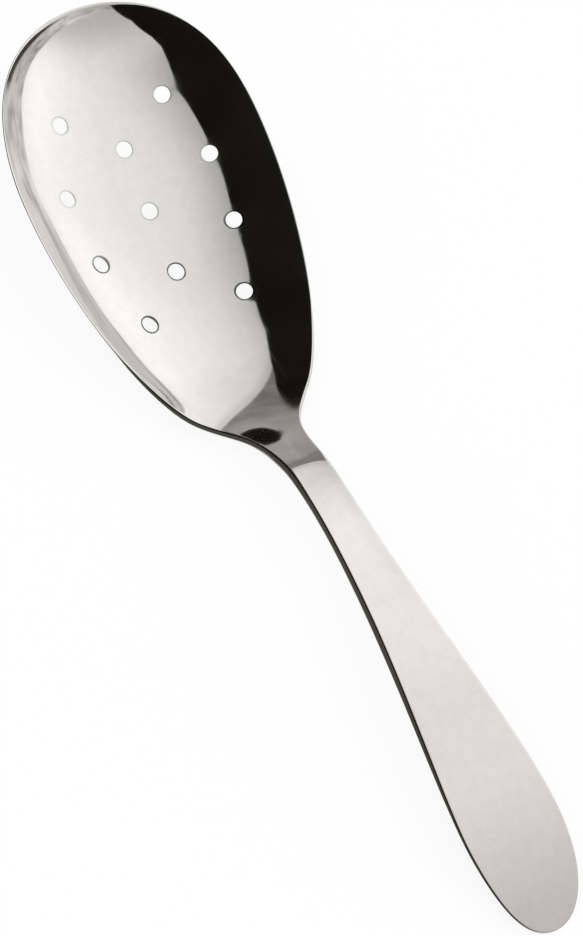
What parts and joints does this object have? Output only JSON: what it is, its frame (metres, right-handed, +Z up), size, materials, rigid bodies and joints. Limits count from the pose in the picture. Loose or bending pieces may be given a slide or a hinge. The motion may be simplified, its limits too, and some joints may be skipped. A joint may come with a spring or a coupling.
{
  "type": "pierced serving spoon",
  "caption": "Pierced serving spoon in polished steel: an egg-shaped bowl with drain holes, a cranked neck and a flat handle that widens to a round end.",
  "frame": {"origin": "on the table under the middle of the spoon's length, as it lies at rest on the heel of its bowl and the end of its handle", "axes": "+X along the spoon from the bowl's tip to the end of the handle, +Y across it to one side, +Z up"},
  "size_m": [0.2514, 0.0684, 0.0386],
  "materials": {
    "polished_steel": "mirror-polished stainless steel with fine hairline scratches from use"
  },
  "bodies": {
    "root": {"pierced_spoon": "polished_steel"}
  },
  "joints": []
}
